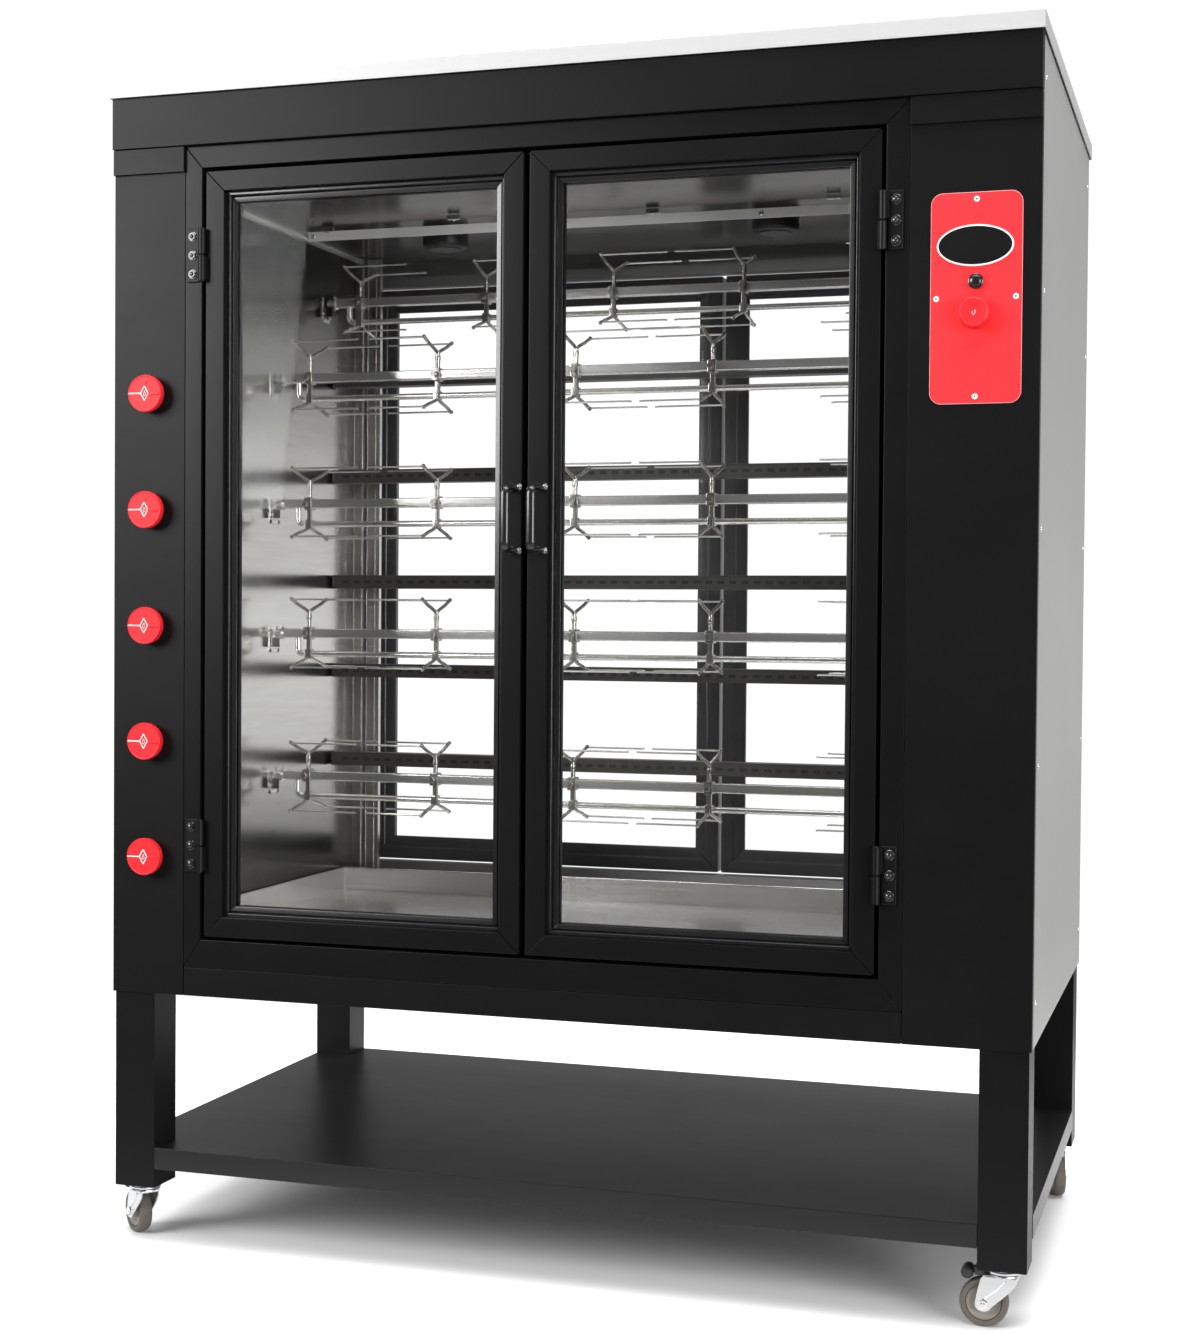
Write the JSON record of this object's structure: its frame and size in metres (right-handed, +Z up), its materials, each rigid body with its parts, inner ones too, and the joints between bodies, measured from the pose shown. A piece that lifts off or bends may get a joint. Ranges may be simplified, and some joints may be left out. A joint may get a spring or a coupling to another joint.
{
  "type": "rotisserie oven",
  "caption": "Floor-standing gas rotisserie cabinet with glazed doors front and rear, driven spits, drip tray and a castered stand with a shelf.",
  "frame": {"origin": "on the floor, under the middle of the oven's overall box", "axes": "+Z up, front doors face -Y, +X to the right seen from the front"},
  "size_m": [1.5817, 0.955, 1.987],
  "materials": {
    "black_coat": "satin black powder coat",
    "door_black": "satin black powder coat, smoother than the stand's",
    "bright_steel": "bright brushed stainless",
    "side_steel": "brushed stainless",
    "cavity_steel": "polished stainless, warm grey",
    "tray_steel": "polished stainless",
    "clear_glass": "clear toughened glass",
    "rotisserie_steel": "polished stainless rod and plate",
    "burner_black": "heat-darkened steel",
    "lamp_black": "black enamel",
    "gas_brass": "drawn brass pipe and valves",
    "motor_grey": "grey painted casting",
    "red_plate": "semi-gloss red",
    "red_knob": "moulded red plastic",
    "black_button": "moulded black plastic",
    "black_grip": "moulded black handle",
    "zinc": "zinc-plated pressed steel",
    "wheel_rubber": "grey-brown moulded rubber on a grey hub",
    "pedal_black": "moulded black plastic"
  },
  "bodies": {
    "oven": {"stand_frame": "black_coat", "lower_shelf": "black_coat", "base_pan": "black_coat", "header_fascia": "black_coat", "top_cover": "bright_steel", "left_front_panel": "black_coat", "right_front_panel": "black_coat", "lower_front_strip": "black_coat", "left_side_panel": "side_steel", "right_side_panel": "side_steel", "rear_panel": "side_steel", "front_surround": "door_black", "left_cavity_wall": "cavity_steel", "right_cavity_wall": "cavity_steel", "cavity_ceiling": "cavity_steel", "drip_tray": "tray_steel", "top_rail": "tray_steel", "lamp_left": "lamp_black", "lamp_right": "lamp_black", "burner_1": "burner_black", "burner_2": "burner_black", "burner_3": "burner_black", "burner_4": "burner_black", "burner_5": "burner_black", "gas_manifold": "gas_brass", "control_plate": "red_plate", "gear_motor": "motor_grey"},
    "front_door_left": {"door_left": "door_black", "door_glass_left": "clear_glass", "handle_left": "black_grip"},
    "front_door_right": {"door_right": "door_black", "door_glass_right": "clear_glass", "handle_right": "black_grip"},
    "back_door_left": {"rear_door_left": "door_black", "rear_glass_left": "clear_glass"},
    "back_door_right": {"rear_door_right": "door_black", "rear_glass_right": "clear_glass"},
    "selector": {"control_knob": "red_knob"},
    "button": {"push_button": "black_button"},
    "gas_valve_1": {"gas_knob_1": "red_knob"},
    "gas_valve_2": {"gas_knob_2": "red_knob"},
    "gas_valve_3": {"gas_knob_3": "red_knob"},
    "gas_valve_4": {"gas_knob_4": "red_knob"},
    "gas_valve_5": {"gas_knob_5": "red_knob"},
    "rotisserie_1": {"spit_1": "rotisserie_steel"},
    "rotisserie_2": {"spit_2": "rotisserie_steel"},
    "rotisserie_3": {"spit_3": "rotisserie_steel"},
    "rotisserie_4": {"spit_4": "rotisserie_steel"},
    "rotisserie_5": {"spit_5": "rotisserie_steel"},
    "swivel_front_left": {"caster_fork_front_left": "zinc"},
    "wheel_front_left": {"caster_wheel_front_left": "wheel_rubber"},
    "brake_front_left": {"brake_pedal_front_left": "pedal_black"},
    "swivel_front_right": {"caster_fork_front_right": "zinc"},
    "wheel_front_right": {"caster_wheel_front_right": "wheel_rubber"},
    "brake_front_right": {"brake_pedal_front_right": "pedal_black"},
    "swivel_rear_left": {"caster_fork_rear_left": "zinc"},
    "wheel_rear_left": {"caster_wheel_rear_left": "wheel_rubber"},
    "swivel_rear_right": {"caster_fork_rear_right": "zinc"},
    "wheel_rear_right": {"caster_wheel_rear_right": "wheel_rubber"}
  },
  "joints": [
    {"name": "front_door_left_hinge", "type": "hinge", "parent": "oven", "child": "front_door_left", "pos_m": [-0.61, -0.445, 1.19], "axis": [0, 0, -1], "range_deg": [0, 110]},
    {"name": "front_door_right_hinge", "type": "hinge", "parent": "oven", "child": "front_door_right", "pos_m": [0.543, -0.445, 1.19], "axis": [0, 0, 1], "range_deg": [0, 110]},
    {"name": "back_door_left_hinge", "type": "hinge", "parent": "oven", "child": "back_door_left", "pos_m": [-0.671, 0.47, 1.17], "axis": [0, 0, 1], "range_deg": [0, 110]},
    {"name": "back_door_right_hinge", "type": "hinge", "parent": "oven", "child": "back_door_right", "pos_m": [0.603, 0.47, 1.17], "axis": [0, 0, -1], "range_deg": [0, 110]},
    {"name": "selector_turn", "type": "hinge", "parent": "oven", "child": "selector", "pos_m": [0.684, -0.44, 1.542], "axis": [0, 1, 0], "range_deg": [0, 270]},
    {"name": "button_press", "type": "slide", "parent": "oven", "child": "button", "axis": [0, 1, 0], "range_m": [0, 0.003], "stiffness_N_per_m": 300},
    {"name": "gas_valve_1_turn", "type": "hinge", "parent": "oven", "child": "gas_valve_1", "pos_m": [-0.71, -0.4375, 0.669], "axis": [0, -1, 0], "range_deg": [0, 180]},
    {"name": "gas_valve_2_turn", "type": "hinge", "parent": "oven", "child": "gas_valve_2", "pos_m": [-0.71, -0.4375, 0.866], "axis": [0, -1, 0], "range_deg": [0, 180]},
    {"name": "gas_valve_3_turn", "type": "hinge", "parent": "oven", "child": "gas_valve_3", "pos_m": [-0.71, -0.4375, 1.063], "axis": [0, -1, 0], "range_deg": [0, 180]},
    {"name": "gas_valve_4_turn", "type": "hinge", "parent": "oven", "child": "gas_valve_4", "pos_m": [-0.71, -0.4375, 1.26], "axis": [0, -1, 0], "range_deg": [0, 180]},
    {"name": "gas_valve_5_turn", "type": "hinge", "parent": "oven", "child": "gas_valve_5", "pos_m": [-0.71, -0.4375, 1.457], "axis": [0, -1, 0], "range_deg": [0, 180]},
    {"name": "rotisserie_1_spin", "type": "hinge", "parent": "oven", "child": "rotisserie_1", "pos_m": [0, -0.0855, 0.787], "axis": [1, 0, 0], "continuous": true},
    {"name": "rotisserie_2_spin", "type": "hinge", "parent": "oven", "child": "rotisserie_2", "pos_m": [0, -0.0855, 1.05], "axis": [1, 0, 0], "continuous": true},
    {"name": "rotisserie_3_spin", "type": "hinge", "parent": "oven", "child": "rotisserie_3", "pos_m": [0, -0.0855, 1.289], "axis": [1, 0, 0], "continuous": true},
    {"name": "rotisserie_4_spin", "type": "hinge", "parent": "oven", "child": "rotisserie_4", "pos_m": [0, -0.0855, 1.52], "axis": [1, 0, 0], "continuous": true},
    {"name": "rotisserie_5_spin", "type": "hinge", "parent": "oven", "child": "rotisserie_5", "pos_m": [0, 0.1395, 1.692], "axis": [1, 0, 0], "continuous": true},
    {"name": "swivel_front_left_turn", "type": "hinge", "parent": "oven", "child": "swivel_front_left", "pos_m": [-0.739, -0.3965, 0.09], "axis": [0, 0, 1], "continuous": true},
    {"name": "wheel_front_left_roll", "type": "hinge", "parent": "swivel_front_left", "child": "wheel_front_left", "pos_m": [-0.76264, -0.37803, 0.0375], "axis": [0.6157, 0.788, 0], "continuous": true},
    {"name": "brake_front_left_press", "type": "hinge", "parent": "swivel_front_left", "child": "brake_front_left", "pos_m": [-0.76579, -0.37557, 0.0865], "axis": [-0.6157, -0.788, 0], "range_deg": [0, 8]},
    {"name": "swivel_front_right_turn", "type": "hinge", "parent": "oven", "child": "swivel_front_right", "pos_m": [0.739, -0.3965, 0.09], "axis": [0, 0, 1], "continuous": true},
    {"name": "wheel_front_right_roll", "type": "hinge", "parent": "swivel_front_right", "child": "wheel_front_right", "pos_m": [0.709, -0.3965, 0.0375], "axis": [0, 1, 0], "continuous": true},
    {"name": "brake_front_right_press", "type": "hinge", "parent": "swivel_front_right", "child": "brake_front_right", "pos_m": [0.705, -0.3965, 0.0865], "axis": [0, -1, 0], "range_deg": [0, 8]},
    {"name": "swivel_rear_left_turn", "type": "hinge", "parent": "oven", "child": "swivel_rear_left", "pos_m": [-0.739, 0.4215, 0.09], "axis": [0, 0, 1], "continuous": true},
    {"name": "wheel_rear_left_roll", "type": "hinge", "parent": "swivel_rear_left", "child": "wheel_rear_left", "pos_m": [-0.71002, 0.41374, 0.0375], "axis": [-0.2588, -0.9659, 0], "continuous": true},
    {"name": "swivel_rear_right_turn", "type": "hinge", "parent": "oven", "child": "swivel_rear_right", "pos_m": [0.739, 0.4215, 0.09], "axis": [0, 0, 1], "continuous": true},
    {"name": "wheel_rear_right_roll", "type": "hinge", "parent": "swivel_rear_right", "child": "wheel_rear_right", "pos_m": [0.74827, 0.39297, 0.0375], "axis": [-0.9511, -0.309, 0], "continuous": true}
  ],
  "couplings": [
    {"joint": "rotisserie_2_spin", "follows": "rotisserie_1_spin", "ratio": 1},
    {"joint": "rotisserie_3_spin", "follows": "rotisserie_1_spin", "ratio": 1},
    {"joint": "rotisserie_4_spin", "follows": "rotisserie_1_spin", "ratio": 1},
    {"joint": "rotisserie_5_spin", "follows": "rotisserie_1_spin", "ratio": 1}
  ]
}
